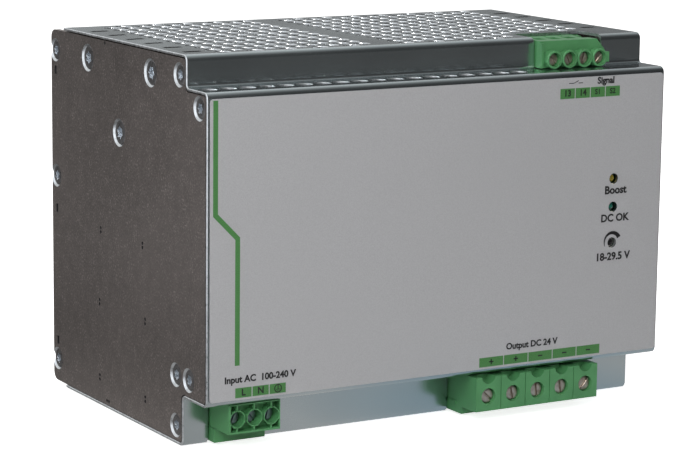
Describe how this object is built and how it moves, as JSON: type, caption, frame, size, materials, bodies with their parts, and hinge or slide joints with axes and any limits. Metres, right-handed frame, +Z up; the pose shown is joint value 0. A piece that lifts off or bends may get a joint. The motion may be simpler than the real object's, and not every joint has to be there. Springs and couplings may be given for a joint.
{
  "type": "din rail power supply",
  "caption": "Wide metal-cased DIN rail power supply with perforated top, green screw terminals, status lamps and a voltage trimmer.",
  "frame": {"origin": "middle of the bracket's seat, on the front face of the 35 mm rail", "axes": "+X along the rail, left to right seen from the front; +Y from the front towards the rail; +Z up"},
  "size_m": [0.18, 0.1283, 0.13],
  "materials": {
    "side_steel": "bare zinc-coated sheet, dull and mottled",
    "cover_sheet": "smooth blue-grey, satin",
    "label_film": "fine-grained grey film",
    "terminal_green": "moulded, satin",
    "plated_steel": "bright zinc plate",
    "terminal_screw": "nickel plate, warm",
    "spring_steel": "drawn wire",
    "aluminium": "extruded, satin",
    "black_plastic": "moulded",
    "circuit_board": "solder mask",
    "ferrite": "dull",
    "copper_wire": "enamelled winding",
    "capacitor_sleeve": "shrink sleeve",
    "amber_lens": "diffusing lens",
    "green_lens": "diffusing lens",
    "trimmer_plastic": "moulded",
    "fuse_body": "glazed"
  },
  "bodies": {
    "chassis": {"cover": "cover_sheet", "front_label": "label_film", "left_side_plate": "side_steel", "right_side_plate": "side_steel", "rear_plate": "side_steel", "input_header": "terminal_green", "output_block": "terminal_green", "signal_header": "terminal_green", "boost_lamp": "amber_lens", "output_lamp": "green_lens", "trimmer_body": "black_plastic", "control_board": "circuit_board", "main_board": "circuit_board", "bulk_capacitor_1": "capacitor_sleeve", "bulk_capacitor_2": "capacitor_sleeve", "output_capacitor_1": "capacitor_sleeve", "output_capacitor_2": "capacitor_sleeve", "primary_heat_sink": "aluminium", "secondary_heat_sink": "aluminium", "main_transformer": "ferrite", "output_choke": "copper_wire", "line_choke": "copper_wire", "mains_fuse": "fuse_body", "signal_relay": "black_plastic", "rail_bracket": "aluminium", "latch_spring": "spring_steel", "bracket_screw_1": "plated_steel", "bracket_screw_2": "plated_steel", "left_screw_1": "plated_steel", "left_screw_2": "plated_steel", "left_screw_3": "plated_steel", "left_screw_4": "plated_steel", "left_screw_5": "plated_steel", "left_screw_6": "plated_steel", "left_screw_7": "plated_steel", "left_screw_8": "plated_steel", "left_screw_9": "plated_steel", "left_screw_10": "plated_steel", "left_screw_11": "plated_steel", "right_screw_1": "plated_steel", "right_screw_2": "plated_steel", "right_screw_3": "plated_steel", "right_screw_4": "plated_steel", "right_screw_5": "plated_steel"},
    "input_plug": {"input_plug": "terminal_green"},
    "signal_plug": {"signal_plug": "terminal_green"},
    "trimmer_rotor": {"trimmer_rotor": "trimmer_plastic"},
    "rail_latch": {"rail_latch": "plated_steel"},
    "input_screw_1": {"input_screw_1": "terminal_screw"},
    "input_screw_2": {"input_screw_2": "terminal_screw"},
    "input_screw_3": {"input_screw_3": "terminal_screw"},
    "output_screw_1": {"output_screw_1": "terminal_screw"},
    "output_screw_2": {"output_screw_2": "terminal_screw"},
    "output_screw_3": {"output_screw_3": "terminal_screw"},
    "output_screw_4": {"output_screw_4": "terminal_screw"},
    "output_screw_5": {"output_screw_5": "terminal_screw"},
    "signal_screw_1": {"signal_screw_1": "terminal_screw"},
    "signal_screw_2": {"signal_screw_2": "terminal_screw"},
    "signal_screw_3": {"signal_screw_3": "terminal_screw"},
    "signal_screw_4": {"signal_screw_4": "terminal_screw"}
  },
  "joints": [
    {"name": "input_plug_pull", "type": "slide", "parent": "chassis", "child": "input_plug", "axis": [0, -1, 0], "range_m": [0, 0.015]},
    {"name": "input_screw_1_turn", "type": "hinge", "parent": "input_plug", "child": "input_screw_1", "pos_m": [-0.07695, -0.1177, -0.0511], "axis": [0, -1, 0], "continuous": true},
    {"name": "input_screw_2_turn", "type": "hinge", "parent": "input_plug", "child": "input_screw_2", "pos_m": [-0.0706, -0.1177, -0.0511], "axis": [0, -1, 0], "continuous": true},
    {"name": "input_screw_3_turn", "type": "hinge", "parent": "input_plug", "child": "input_screw_3", "pos_m": [-0.06425, -0.1177, -0.0511], "axis": [0, -1, 0], "continuous": true},
    {"name": "output_screw_1_turn", "type": "hinge", "parent": "chassis", "child": "output_screw_1", "pos_m": [0.01868, -0.124, -0.0533], "axis": [0, -1, 0], "continuous": true},
    {"name": "output_screw_2_turn", "type": "hinge", "parent": "chassis", "child": "output_screw_2", "pos_m": [0.02884, -0.124, -0.0533], "axis": [0, -1, 0], "continuous": true},
    {"name": "output_screw_3_turn", "type": "hinge", "parent": "chassis", "child": "output_screw_3", "pos_m": [0.039, -0.124, -0.0533], "axis": [0, -1, 0], "continuous": true},
    {"name": "output_screw_4_turn", "type": "hinge", "parent": "chassis", "child": "output_screw_4", "pos_m": [0.04916, -0.124, -0.0533], "axis": [0, -1, 0], "continuous": true},
    {"name": "output_screw_5_turn", "type": "hinge", "parent": "chassis", "child": "output_screw_5", "pos_m": [0.05932, -0.124, -0.0533], "axis": [0, -1, 0], "continuous": true},
    {"name": "signal_plug_pull", "type": "slide", "parent": "chassis", "child": "signal_plug", "axis": [0, -1, 0], "range_m": [0, 0.015]},
    {"name": "signal_screw_1_turn", "type": "hinge", "parent": "signal_plug", "child": "signal_screw_1", "pos_m": [0.04908, -0.1147, 0.0607], "axis": [0, -1, 0], "continuous": true},
    {"name": "signal_screw_2_turn", "type": "hinge", "parent": "signal_plug", "child": "signal_screw_2", "pos_m": [0.05543, -0.1147, 0.0607], "axis": [0, -1, 0], "continuous": true},
    {"name": "signal_screw_3_turn", "type": "hinge", "parent": "signal_plug", "child": "signal_screw_3", "pos_m": [0.06177, -0.1147, 0.0607], "axis": [0, -1, 0], "continuous": true},
    {"name": "signal_screw_4_turn", "type": "hinge", "parent": "signal_plug", "child": "signal_screw_4", "pos_m": [0.06812, -0.1147, 0.0607], "axis": [0, -1, 0], "continuous": true},
    {"name": "trimmer_turn", "type": "hinge", "parent": "chassis", "child": "trimmer_rotor", "pos_m": [0.0691, -0.1236, -0.0036], "axis": [0, -1, 0], "range_deg": [-135, 135]},
    {"name": "rail_latch_pull", "type": "slide", "parent": "chassis", "child": "rail_latch", "axis": [0, 0, -1], "range_m": [0, 0.005], "stiffness_N_per_m": 1500, "springref_m": -0.01, "deforming": ["latch_spring"]}
  ]
}
